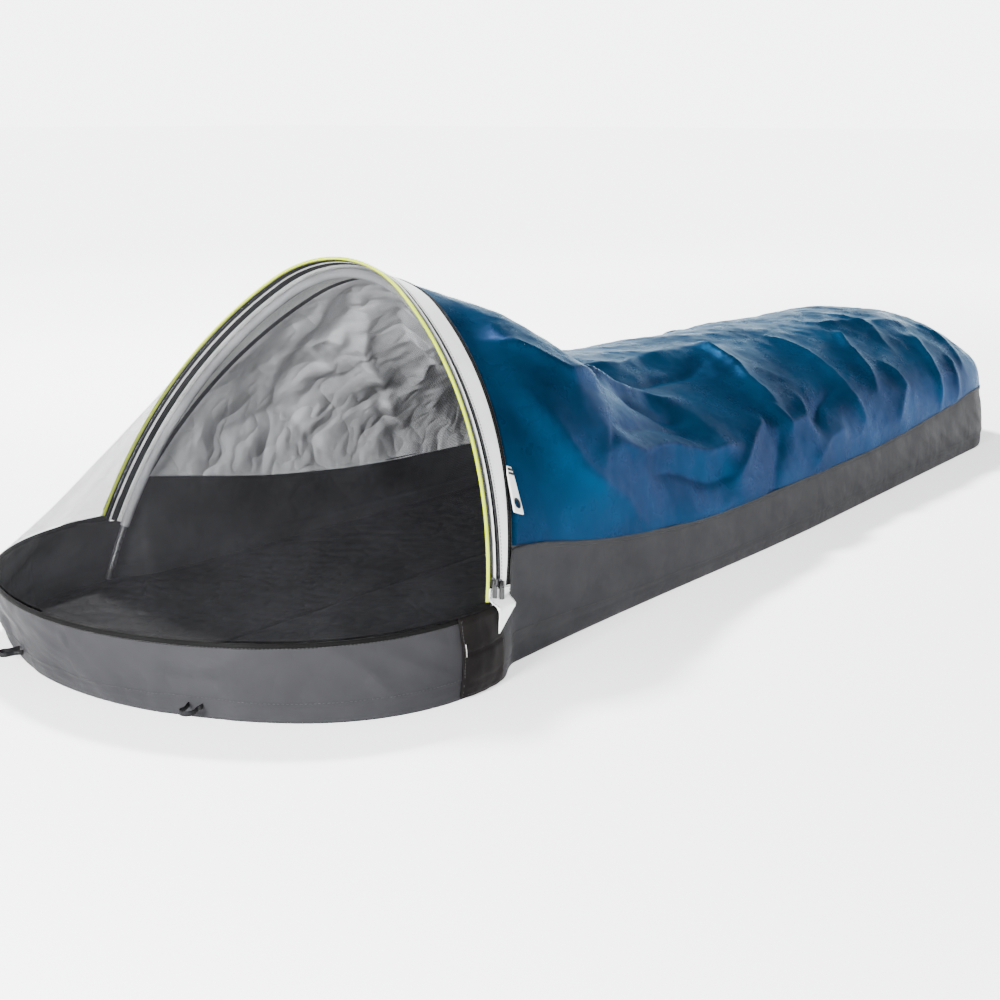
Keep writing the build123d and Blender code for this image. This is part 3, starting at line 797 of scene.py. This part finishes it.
def top_relief(points):
    """Folds and crumples of the top, outward in metres."""
    a, b = cloth_places(points)
    share = shares(points.shape[1])[None, :]
    wander_a = a + 0.012 * noise(a * 9, b * 9, 36)
    wander_b = b + 0.012 * noise(a * 9 + 40, b * 9, 37)
    body = smooth(0.35, 0.75, b)
    left = 1 - smooth(-0.05, 0.05, a)
    foot = smooth(0.95, 1.35, b)
    relief = 0.0060 * body * (ridges(a * 4.5 + b * 1.2, b * 3.2, 31) - 0.6)
    crumpled = 0.15 + 0.85 * np.maximum(body, left)
    relief += 0.0042 * crumpled * (ridges(wander_a * 9 - b * 3, wander_b * 7, 32) - 0.6)
    relief += 0.0022 * (0.3 + 0.7 * body) * ridges(wander_a * 20 + b * 5, b * 15, 33)
    relief += 0.0006 * noise(a * 60, b * 50, 34)
    relief += foot * 0.0035 * (ridges(a * 8 + b * 6, b * 11 - a * 6, 35) - 0.6)
    for row in RIGHT_FOLDS + LEFT_FOLDS:
        relief = relief + fold(wander_a, wander_b, *row)
    return relief * np.sin(pi * share) ** 0.3


top_normal = normals(top_base)
# The relief fades out where the cloth is sewn to the band, and at the tip of the foot.
edge_hold = smooth(0, 0.05, top_rows)[:, None] * smooth(0, 0.04, top_at[-1] - top_rows)[:, None]
top_outer = top_base + top_normal * (top_relief(top_base) * edge_hold)[..., None]
top_inner = top_outer - top_normal * CLOTH
top = shell("laminate_top", top_outer, top_inner, [BLUE, SILVER])
placed(top, "sack", "top_laminate", "top_shell")


# ---- Hood: band, pipings, zippers, door

HOOD_STEPS = 260


def hood_line(lift, back, steps, start=BAND_START):
    """Places and outward angles of a line along the arch, lifted off it and set back."""
    x, height, angle = arch(HALF, ARCH_RISE, shares(steps), start)
    if callable(back):
        back = back(height)
    return hood(x + lift * np.cos(angle), height + lift * np.sin(angle), back), angle


def hood_rings(start, profile):
    """Rings of a profile of (back, out) pairs, or one made from the height, along the arch."""
    x, height, angle = arch(HALF, ARCH_RISE, shares(HOOD_STEPS), start)
    if callable(profile):
        profile = profile(height)
    profile = np.broadcast_to(profile, (HOOD_STEPS,) + np.shape(profile)[-2:])
    back, out = profile[..., 0], profile[..., 1]
    px = x[:, None] + out * np.cos(angle)[:, None]
    ph = height[:, None] + out * np.sin(angle)[:, None]
    return hood(px, ph, back)


def round_profile(back, out, radius, sides=10):
    """Cord or tube as (back, out) pairs round its middle."""
    turn = full_turn(sides)
    return join(back + radius * np.cos(turn), out + radius * np.sin(turn))


def flat_profile(front, rear, low, high, sides=8):
    """Flat strip with rounded edges, from front to rear and from low to high."""
    turn = full_turn(2 * sides)
    span, thick = (rear - front) / 2, (high - low) / 2
    across = np.sign(np.cos(turn)) * np.abs(np.cos(turn)) ** 0.35
    middle = (front + rear) / 2, (low + high) / 2
    return join(middle[0] + span * across, middle[1] + thick * np.sin(turn))


def hood_piece(name, mat, start, profile, body, slot, replaced):
    return placed(tube(name, hood_rings(start, profile), [mat]), body, slot, replaced)


COIL_PITCH, COIL_LIFT, TOOTH_SIZE = 0.0013, 0.0008, (0.0022, 0.00095, 0.0013)


def coil_teeth(name, back, start, body, node_name):
    """One side of a coil zipper: a close row of bent teeth on the tape."""
    path, _ = hood_line(COIL_LIFT, back, 800, start)
    places, along = along_path(path, COIL_PITCH)
    obj = bars(name, places, REARWARD, np.cross(REARWARD, along), TOOTH_SIZE, [COIL])
    placed(obj, body, "zipper_coil", node_name)


def band_profile(height):
    """Storm flap: from the storm zipper back to the binding, so it widens towards the crown."""
    return np.array([flat_profile(FLAP_FRONT, rear, -0.0012, 0.0003, 12)
                     for rear in cover_back(height) - 0.0035])


def binding_profile(height):
    """Binding folded round the rear edge of the band."""
    return np.array([flat_profile(rear - 0.0085, rear, -0.0018, 0.0013)
                     for rear in cover_back(height) + 0.0015])


hood_piece("door_piping_trim", LIME, DOOR_START, round_profile(0.0019, 0.0006, 0.0022),
           "door", "accent_piping", "door_piping")
hood_piece("door_tape_trim", TAPE, DOOR_START, flat_profile(0.0038, 0.0072, -0.0010, 0),
           "door", "zipper_tape", "door_zip_tape")
hood_piece("hood_tape_trim", TAPE, BAND_START, flat_profile(0.0078, 0.0126, -0.0010, 0),
           "sack", "zipper_tape", "hood_zip_tape")
hood_piece("hood_piping_trim", PALE_PIPING, BAND_START, round_profile(0.0145, 0.0004, 0.0018),
           "sack", "pale_laminate", "hood_piping")
hood_piece("storm_tape_trim", TAPE, BAND_START, flat_profile(0.0164, 0.0270, -0.0010, 0),
           "sack", "zipper_tape", "storm_zip_tape")
flap = hood_piece("storm_flap_cloth", WHITE, BAND_START, band_profile, "sack", "pale_laminate",
                  "storm_flap")
hood_piece("rear_binding_tape", BINDING, BAND_START, binding_profile, "sack", "black_binding",
           "rear_binding")
hood_piece("pole_sleeve_cloth", SLEEVE, radians(10.2), round_profile(0.034, -0.010, 0.0063, 14),
           "sack", "top_laminate", "pole_sleeve")
coil_teeth("door_coil_teeth", 0.0063, radians(14.4), "door", "door_zip_coil")
coil_teeth("hood_coil_teeth", 0.0087, BAND_START, "sack", "hood_zip_coil")
coil_teeth("storm_coil_teeth", 0.0215, BAND_START, "sack", "storm_zip_coil")


def netting_door():
    """Net from the head rim to the arch: drawn tight, slightly hollow, with faint ripples."""
    share = shares(220)
    x, height, _ = arch(HALF, ARCH_RISE, share, DOOR_START)
    top_edge = hood(x, height, 0.0008)
    x, reach, _ = arch(HALF - 0.002, RIM_REACH - 0.002, share)
    base = join(x, HOOP_Y - reach, RIM_Z + 0.004)
    up = shares(110)[:, None, None]
    points = base * (1 - up) + top_edge * up
    outward = normals(points)
    up = up[..., 0]
    free = np.sin(pi * up) ** 0.7
    relief = -0.006 * free + 0.0022 * free * noise(share[None] * 14, up * 2.0, 41)
    relief += 0.0012 * free * ridges(share[None] * 26 + up, up * 3, 42)
    points = points + outward * relief[..., None]
    return points, points - outward * NET_THICKNESS


net_outer, net_inner = netting_door()
net = shell("netting_door", net_outer, net_inner, [NETTING])
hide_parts("mesh_door")
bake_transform(net)


# ---- Seams, bindings and stitching of the bathtub

UPWARD = np.array([0.0, 0.0, 1.0])


def head_rim_path(row):
    """The wall's row round the head, from the left hoop foot by the front to the right one."""
    return np.concatenate([wall_outer[row, 1 - HEAD_COLUMNS:], wall_outer[row, :HEAD_COLUMNS]])


def level_out(path):
    """Outward level directions beside a path that has the sack on its left."""
    return level_normals(np.gradient(path, axis=0))


def level_tape(name, path, profile, mat, slot, *replaced):
    """Tape along a nearly level path, with its profile upright; gives its outward directions."""
    out = level_out(path)
    obj = sweep(name, path, out, profile[::-1], [mat], UPWARD)
    placed(obj, "sack", slot, *replaced)
    return out


def rim_binding():
    """Binding folded over the head rim, with one row of stitches below it."""
    path = head_rim_path(-1)
    turn = full_turn(12)
    profile = join(-0.0015 + 0.0034 * np.sin(turn), -0.0006 + 0.0020 * np.cos(turn))
    out = level_tape("rim_binding_tape", path, profile, BINDING, "black_binding", "rim_binding")
    stitch_row("rim_stitches", path + out * 0.0016 - UPWARD * 0.0032, out)


def top_seam():
    """Felled seam between the wall and the top, round the foot, with two rows of stitches."""
    path = np.concatenate([top_base[:-1, 0], top_base[::-1, -1]])
    profile = flat_profile(-0.0035, 0.0035, -0.0004, 0.0016)
    out = level_tape("top_seam_tape", path, profile, GREY, "seam_thread",
                     "side_seam_left", "side_seam_right", "foot_seam")
    for name, lift in (("upper", 0.0018), ("lower", -0.0018)):
        stitch_row(f"top_seam_{name}_stitches", path + out * 0.0018 + UPWARD * lift, out)


def hem_stitches():
    """Stitches round the whole wall, a little above the hem's groove."""
    row = int(np.argmin(np.abs(wall_outer[:, :, 2].mean(1) - 0.026)))
    path = np.concatenate([wall_outer[row], wall_outer[row, :1]])
    out = level_out(path)
    stitch_row("hem_stitches", path + out * 0.0003, out, pitch=0.0048)


rim_binding()
top_seam()
hem_stitches()


# ---- Pole pockets, zip ends, guy tabs and stake loops


def patch(name, points, out, lift, thick, mat, slot, *replaced):
    """Cloth patch sewn on: a grid lifted off the surface that it lies on."""
    outer = points + out * (lift + thick)
    obj = shell(name, outer, points + out * lift, [mat])
    return placed(obj, "sack", slot, *replaced), outer


def inset(grid, share):
    """A grid's outline drawn in towards its middle by a share of its size."""
    edge = np.concatenate([grid[:, 0], grid[-1, 1:], grid[::-1, -1][1:], grid[0, ::-1][1:]])
    return edge + (grid.reshape(-1, 3).mean(0) - edge) * share


def edge_stitches(name, outer, side, share, lift, pitch):
    """Stitches inside the outline of a patch on one side of the sack."""
    line = inset(outer, share)
    up = np.broadcast_to((float(side), 0.0, 0.0), line.shape)
    stitch_row(name, line + up * lift, up, pitch)


def side_patch(start, end, low, high, steps):
    """Grid over the right side of the wall between two distances from the hoop's feet."""
    reach = wall_outer[0, :, 1] - HOOP_Y
    right = np.where((wall_outer[0, :, 0] > 0) & (reach > start) & (reach < end))[0]
    columns = np.linspace(right[0], right[-1], steps[1])
    whole = np.floor(columns).astype(int)
    part = (columns - whole)[None, :, None]
    following = np.minimum(whole + 1, right[-1])
    points = wall_outer[:, whole] * (1 - part) + wall_outer[:, following] * part
    index = np.arange(len(whole))
    rows, out = [], []
    for z in np.linspace(high, low, steps[0]):
        row = np.clip(z / points[-1, :, 2] * (len(points) - 1), 0, len(points) - 1.001)
        below = row.astype(int)
        mix = (row - below)[:, None]
        place = points[below, index] * (1 - mix) + points[below + 1, index] * mix
        place[:, 2] = z
        rows.append(place)
        out.append(wall_out[:, whole][below, index])
    return np.array(rows), np.array(out)


def mirror(points, side):
    """A grid made for the right side, as it is or turned over to the left."""
    return points if side > 0 else (points * (-1, 1, 1))[:, ::-1]


def pole_pocket(side, name):
    """Pocket of heavy cloth at the hoop's foot, with puckered edges, a tuck and a pale marker."""
    points, out = side_patch(-0.027, 0.053, 0.003, 0.094, (36, 30))
    run, drop = distances(points, 1), distances(points, 0)
    puff = 0.0016 * noise(run * 45, drop * 30, 51) + 0.0030 * np.sin(pi * run / run.max())
    puff = puff + 0.0014 * ridges(run * 30 + drop * 20, drop * 40, 52)
    puff -= 0.0030 * np.exp(-((drop - 0.040) / 0.0022) ** 2)
    edge = np.minimum(smooth(0, 0.006, run), smooth(0, 0.006, run.max() - run))
    points = points + out * (puff * edge * smooth(0, 0.006, drop))[..., None]
    piece, outer = patch(f"pole_pocket_cloth_{name}", mirror(points, side), mirror(out, side),
                         0.0008, 0.0014, POCKET, "pocket_cloth", f"pole_pocket_{name}")
    edge_stitches(f"pocket_stitches_{name}", outer, side, 0.07, 0.0008, 0.0038)
    points, out = side_patch(-0.0245, -0.0205, 0.052, 0.066, (6, 5))
    patch(f"pocket_marker_{name}", mirror(points, side), mirror(out, side), 0.0030, 0.0012,
          WEB_PALE, "pale_webbing")


ZIP_END_Z = 0.1105


def zip_end(side, name):
    """Pale reinforcement over the zippers' lower ends: its point lies on the pole pocket."""
    share = shares(25)[None, :]
    back = 0.0015 + 0.0400 * share
    tip = np.minimum(share / 0.30, (1 - share) / 0.70)
    low_z = 0.1035 - 0.0405 * tip
    down = shares(30)[:, None]
    z = ZIP_END_Z - 0.0045 * share + (low_z - ZIP_END_Z) * down
    height = (z + back * sin(LEAN)) / cos(LEAN)
    on_band = HALF - LEG + (LEG + 0.0024) * np.cos(np.arcsin(height / LEG))
    over_pocket = HALF + 0.0062 + 0.0006 * np.cos(pi * share)
    x = on_band + (over_pocket - on_band) * (1 - smooth(0.0895, 0.0975, z))
    points = join(x, HOOP_Y + height * sin(LEAN) + back * cos(LEAN), z)
    out = normals(points)
    _, outer = patch(f"zip_end_cloth_{name}", mirror(points, side), mirror(out, side), 0.0, 0.0011,
                     WHITE, "pale_laminate", f"zip_garage_{name}")
    edge_stitches(f"zip_end_stitches_{name}", outer, side, 0.10, 0.0004, 0.0036)


TAB_ANGLE = radians(28.5)
TAB_LIFT = 0.0046
TAB_LENGTH, TAB_EYE = 0.060, 0.0055
TAB_EYE_DROP = TAB_LENGTH - TAB_EYE - 0.0075
TAB_CORNERS = np.array([(-0.0098, 0.0005 - TAB_LENGTH), (0.0098, 0.0005 - TAB_LENGTH),
                        (0.0060, -0.0005), (-0.0060, -0.0005)])


def tab_frame(side):
    """Origin and directions of a guy tab: backwards, up the leg and outward."""
    height = LEG * sin(TAB_ANGLE)
    reach = LEG + TAB_LIFT
    place = hood(HALF - LEG + reach * cos(TAB_ANGLE), reach * sin(TAB_ANGLE), cover_back(height))
    outward = outward_at(TAB_ANGLE)
    return np.array([place, REARWARD, np.cross(outward, REARWARD), outward]) * (side, 1, 1)


def tab_edge(way):
    """How far the tab reaches from its eye's centre in each direction."""
    edge = np.full(len(way), np.inf)
    for first, second in zip(TAB_CORNERS, np.roll(TAB_CORNERS, -1, 0)):
        run = second - first
        normal = np.array([run[1], -run[0]]) / np.hypot(*run)
        facing = way @ normal
        hit = ((first + (0, TAB_EYE_DROP)) @ normal) / np.where(facing > 1e-6, facing, 1)
        edge = np.where(facing > 1e-6, np.minimum(edge, hit), edge)
    return edge


def guy_tab(side, name):
    """Pale webbing tab, wider at its eye, with a bar tack where it leaves the binding."""
    place, rear, upward, outward = tab_frame(side)

    def on_tab(across, up, lift=0.0):
        return place + across[..., None] * rear + up[..., None] * upward + lift * outward

    turn = full_turn(72)
    way = join(np.cos(turn), np.sin(turn))
    share = shares(12)[:, None]
    reach = tab_edge(way)[None] * (1 - share) + TAB_EYE * share
    half_thick = 0.0006 + 0.0006 * smooth(0, 0.25, share) * smooth(0, 0.25, 1 - share)
    grids = [on_tab(reach * way[:, 0], reach * way[:, 1] - TAB_EYE_DROP, lift[..., None])
             for lift in (half_thick, -half_thick)]
    if side > 0:
        grids = [grid[:, ::-1] for grid in grids]
    obj = shell(f"guy_tab_webbing_{name}", grids[0], grids[1], [WEB_PALE], wrap=True)
    body = f"guy_tab_{name}_body"
    placed(obj, body, "pale_webbing", f"guy_tab_{name}")
    turn = full_turn(40)
    ring = TAB_EYE + 0.0006
    path = on_tab(ring * np.cos(turn), ring * np.sin(turn) - TAB_EYE_DROP)
    thread_bars(f"guy_tab_eye_{name}", path, np.roll(path, -1, 0) - path, outward,
                (0.0011, 0.0022, 0.0032), body)
    column, row = np.repeat(np.arange(16), 2), np.tile([0, 1], 16)
    places = on_tab(-0.0050 + 0.0100 * column / 15, -0.0045 - 0.0052 * row, 0.0012)
    thread_bars(f"guy_tab_tack_{name}", places, upward + 0.12 * rear, outward,
                (0.0034, 0.0006, 0.0006), body)


def stake_loop(side, end):
    """Webbing loop folded over itself and tacked to the foot of the wall."""
    name = f"{end}_{'right' if side > 0 else 'left'}"
    place, outward = loop_frame(side, end)
    across = np.cross(outward, UPWARD)
    bend = np.linspace(0, pi, 24)
    leg = np.linspace(-0.0035, LOOP_LEG, 14, endpoint=False)
    one_leg = join(LOOP_RADIUS, leg)
    arc = join(LOOP_RADIUS * np.cos(bend), LOOP_LEG + LOOP_RADIUS * np.sin(bend))
    line = np.concatenate([one_leg, arc, (one_leg * (-1, 1))[::-1]])
    line[:, 0] *= 1 - 0.18 * np.sin(pi * np.clip(line[:, 1] / LOOP_LEG, 0, 1))
    path = place + line[:, :1] * across + line[:, 1:] * outward
    out = unit(np.cross(np.gradient(path, axis=0), UPWARD))
    obj = sweep(f"stake_loop_webbing_{name}", path, out,
                flat_profile(-0.0029, 0.0029, -0.0008, 0.0008), [WEB_BLACK])
    body = f"stake_loop_{name}_body"
    placed(obj, body, "black_webbing", f"stake_loop_{name}")
    leg_side, step = np.repeat([1, -1], 7)[:, None], np.tile(np.arange(7), 2)[:, None]
    places = place + leg_side * (LOOP_RADIUS + 0.0007) * 0.93 * across
    places = places + (0.0020 + 0.0008 * step) * outward
    thread_bars(f"stake_loop_tack_{name}", places, UPWARD + 0.1 * outward, across,
                (0.0042, 0.0005, 0.0007), body)


for side, name in ((1, "right"), (-1, "left")):
    pole_pocket(side, name)
    zip_end(side, name)
    guy_tab(side, name)
    for end in ("head", "foot"):
        stake_loop(side, end)


# ---- Stitching of the hood


def hood_stitches(name, back, lift):
    path, angle = hood_line(lift, back, 700)
    stitch_row(name, path, outward_at(angle))


hood_stitches("binding_front_stitches", lambda height: cover_back(height) - 0.0058, 0.0014)
hood_stitches("binding_rear_stitches", lambda height: cover_back(height) - 0.0006, 0.0014)
hood_stitches("flap_stitches", 0.0290, 0.0006)
hood_stitches("storm_tape_stitches", 0.0176, 0.0002)


# ---- Camera, floor and lights

CAMERA_PLACE = (1.395, -2.114, 0.629)
CAMERA_AZIMUTH = radians(37.36)
CAMERA_ELEVATION = radians(13.47)
CAMERA_LENS, CAMERA_SHIFT = 58.2, -0.002

camera_data = bpy.data.cameras.new("camera")
camera_data.lens = CAMERA_LENS
camera_data.sensor_width = 36
camera = new_object("camera", camera_data)
camera.location = CAMERA_PLACE
camera.rotation_euler = (pi / 2 - CAMERA_ELEVATION, 0, CAMERA_AZIMUTH)
camera_data.shift_x = CAMERA_SHIFT
bpy.context.scene.camera = camera


def studio_floor():
    """Pale ground that glows a little more far away, so that it meets the world without a line."""
    size = 60
    mesh = bpy.data.meshes.new("studio_floor")
    mesh.from_pydata([(-size, -size, 0), (size, -size, 0), (size, size, 0), (-size, size, 0)],
                     [], [(0, 1, 2, 3)])
    mat = new_material("studio_floor", (0.90, 0.90, 0.90), 0.8, Specular_IOR_Level=0.2,
                       Emission_Color=(0.97, 0.98, 1.0, 1))
    shades(mat, cloud(mat, 1.5, 2), (0.89, 0.89, 0.89), (0.91, 0.91, 0.91))
    reach = node(mat, "ShaderNodeVectorMath", {0: place_of(mat)}, operation="LENGTH")
    glow = ramp(mat, reach.outputs["Value"], 1.0, 4.5, 1.3, 4.8, "SMOOTHSTEP")
    link(mat, glow, "Emission Strength")
    mesh.materials.append(mat)
    new_object("studio_floor", mesh)


def softbox(name, place, aim, size, power):
    data = bpy.data.lights.new(name, "AREA")
    data.shape = "RECTANGLE"
    data.size, data.size_y = size
    data.energy = power
    obj = new_object(name, data)
    obj.location = place
    direction = Vector(np.subtract(aim, place))
    obj.rotation_euler = direction.to_track_quat("-Z", "Y").to_euler()


def studio_world():
    """White all round at eye level and dimmer overhead, so that the cloth keeps its contrast."""
    world = bpy.data.worlds.new("studio")
    world.use_nodes = True
    where = node(world, "ShaderNodeTexCoord").outputs["Generated"]
    height = node(world, "ShaderNodeSeparateXYZ", {0: where}).outputs["Z"]
    background = world.node_tree.nodes["Background"]
    background.inputs["Color"].default_value = (0.97, 0.98, 1.0, 1)
    strength = ramp(world, height, 0.06, 0.34, 5.8, 0.30, "SMOOTHSTEP")
    world.node_tree.links.new(strength, background.inputs["Strength"])
    bpy.context.scene.world = world


studio_floor()
studio_world()
softbox("key_light", (-1.7, 0.7, 2.7), (0, 0, 0.1), (0.5, 0.35), 430)
softbox("front_light", (-1.4, -3.0, 2.6), (0, -0.3, 0.1), (1.4, 1.0), 40)
softbox("door_light", (0.7, -3.3, 0.8), (-0.1, -0.3, 0.30), (0.7, 0.5), 330)
softbox("fill_light", (2.8, -1.0, 1.6), (0, 0, 0.1), (1.4, 1.4), 25)

# ---- Materials of the CAD nodes that stay visible

KEPT_MATERIALS = {
    "slider": SLIDER, "pull": PULL, "pole_leg": POLE, "pole_crown": POLE, "ferrule": FERRULE,
    "pole_tip": TIP, "shock_cord": CORD,
}
for name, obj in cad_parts.items():
    for part, mat in KEPT_MATERIALS.items():
        if part in name and not obj.hide_render:
            for slot in obj.material_slots:
                slot.material = mat
